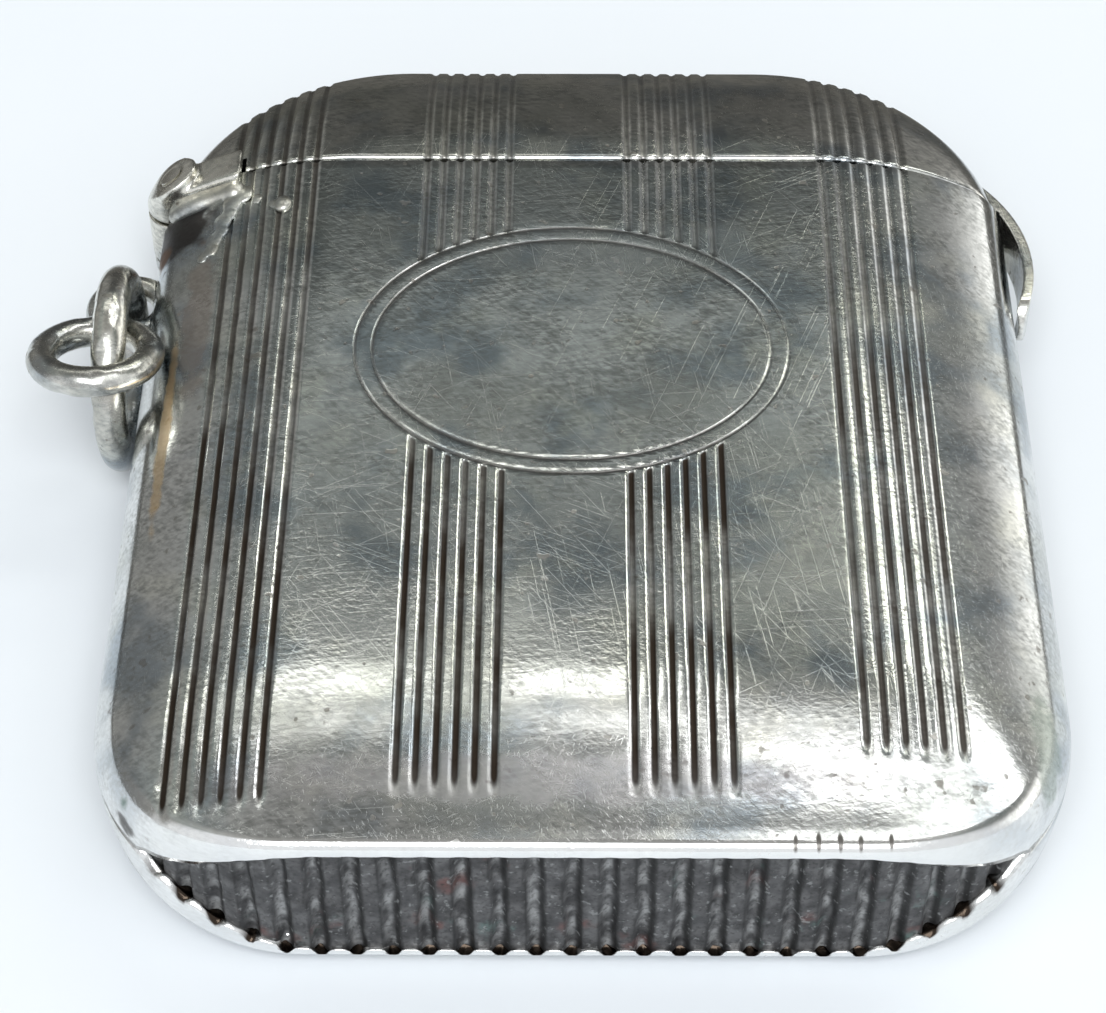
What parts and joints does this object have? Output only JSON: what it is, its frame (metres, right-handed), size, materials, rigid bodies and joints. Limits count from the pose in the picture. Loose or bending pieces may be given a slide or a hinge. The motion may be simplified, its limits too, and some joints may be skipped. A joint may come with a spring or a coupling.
{
  "type": "vesta case",
  "caption": "Flat silver pocket match safe with a crowned body, side-hinged lid, fluted striker in the base, thumbpiece, and a hanging ring with a jump ring.",
  "frame": {"origin": "centre of the flat middle of the back face, half-way between the base and the top of the lid", "axes": "+X towards the thumbpiece side, +Y towards the lid, +Z out of the engraved front face"},
  "size_m": [0.047, 0.0496, 0.0098],
  "materials": {
    "silver": "worn, lightly tarnished",
    "dark_silver": "tarnished and rough",
    "ring_silver": "worn, polished",
    "spring_steel": "plain"
  },
  "bodies": {
    "body": {"front_shell": "silver", "back_shell": "silver", "striker_plate": "dark_silver", "mouth_collar": "silver", "front_knuckle": "silver", "back_knuckle": "silver", "hinge_pin": "silver", "lid_spring": "spring_steel", "suspension_eye": "ring_silver"},
    "lid": {"lid_front_shell": "silver", "lid_back_shell": "silver", "lid_knuckle": "silver", "thumbpiece": "silver"},
    "ring": {"suspension_ring": "ring_silver"},
    "jump": {"jump_ring": "ring_silver"}
  },
  "joints": [
    {"name": "lid_hinge", "type": "hinge", "parent": "body", "child": "lid", "pos_m": [-0.0199, 0.0147, 0.0047], "axis": [0, 0, 1], "range_deg": [0, 95]},
    {"name": "ring_swing", "type": "hinge", "parent": "body", "child": "ring", "pos_m": [-0.0216, 0.009, 0.0049], "axis": [0, 0, -1], "range_deg": [0, 80]},
    {"name": "jump_swing", "type": "hinge", "parent": "ring", "child": "jump", "pos_m": [-0.0216, 0.00243, 0.00807], "axis": [0, -0.7839, -0.6209], "range_deg": [-5, 45]}
  ]
}
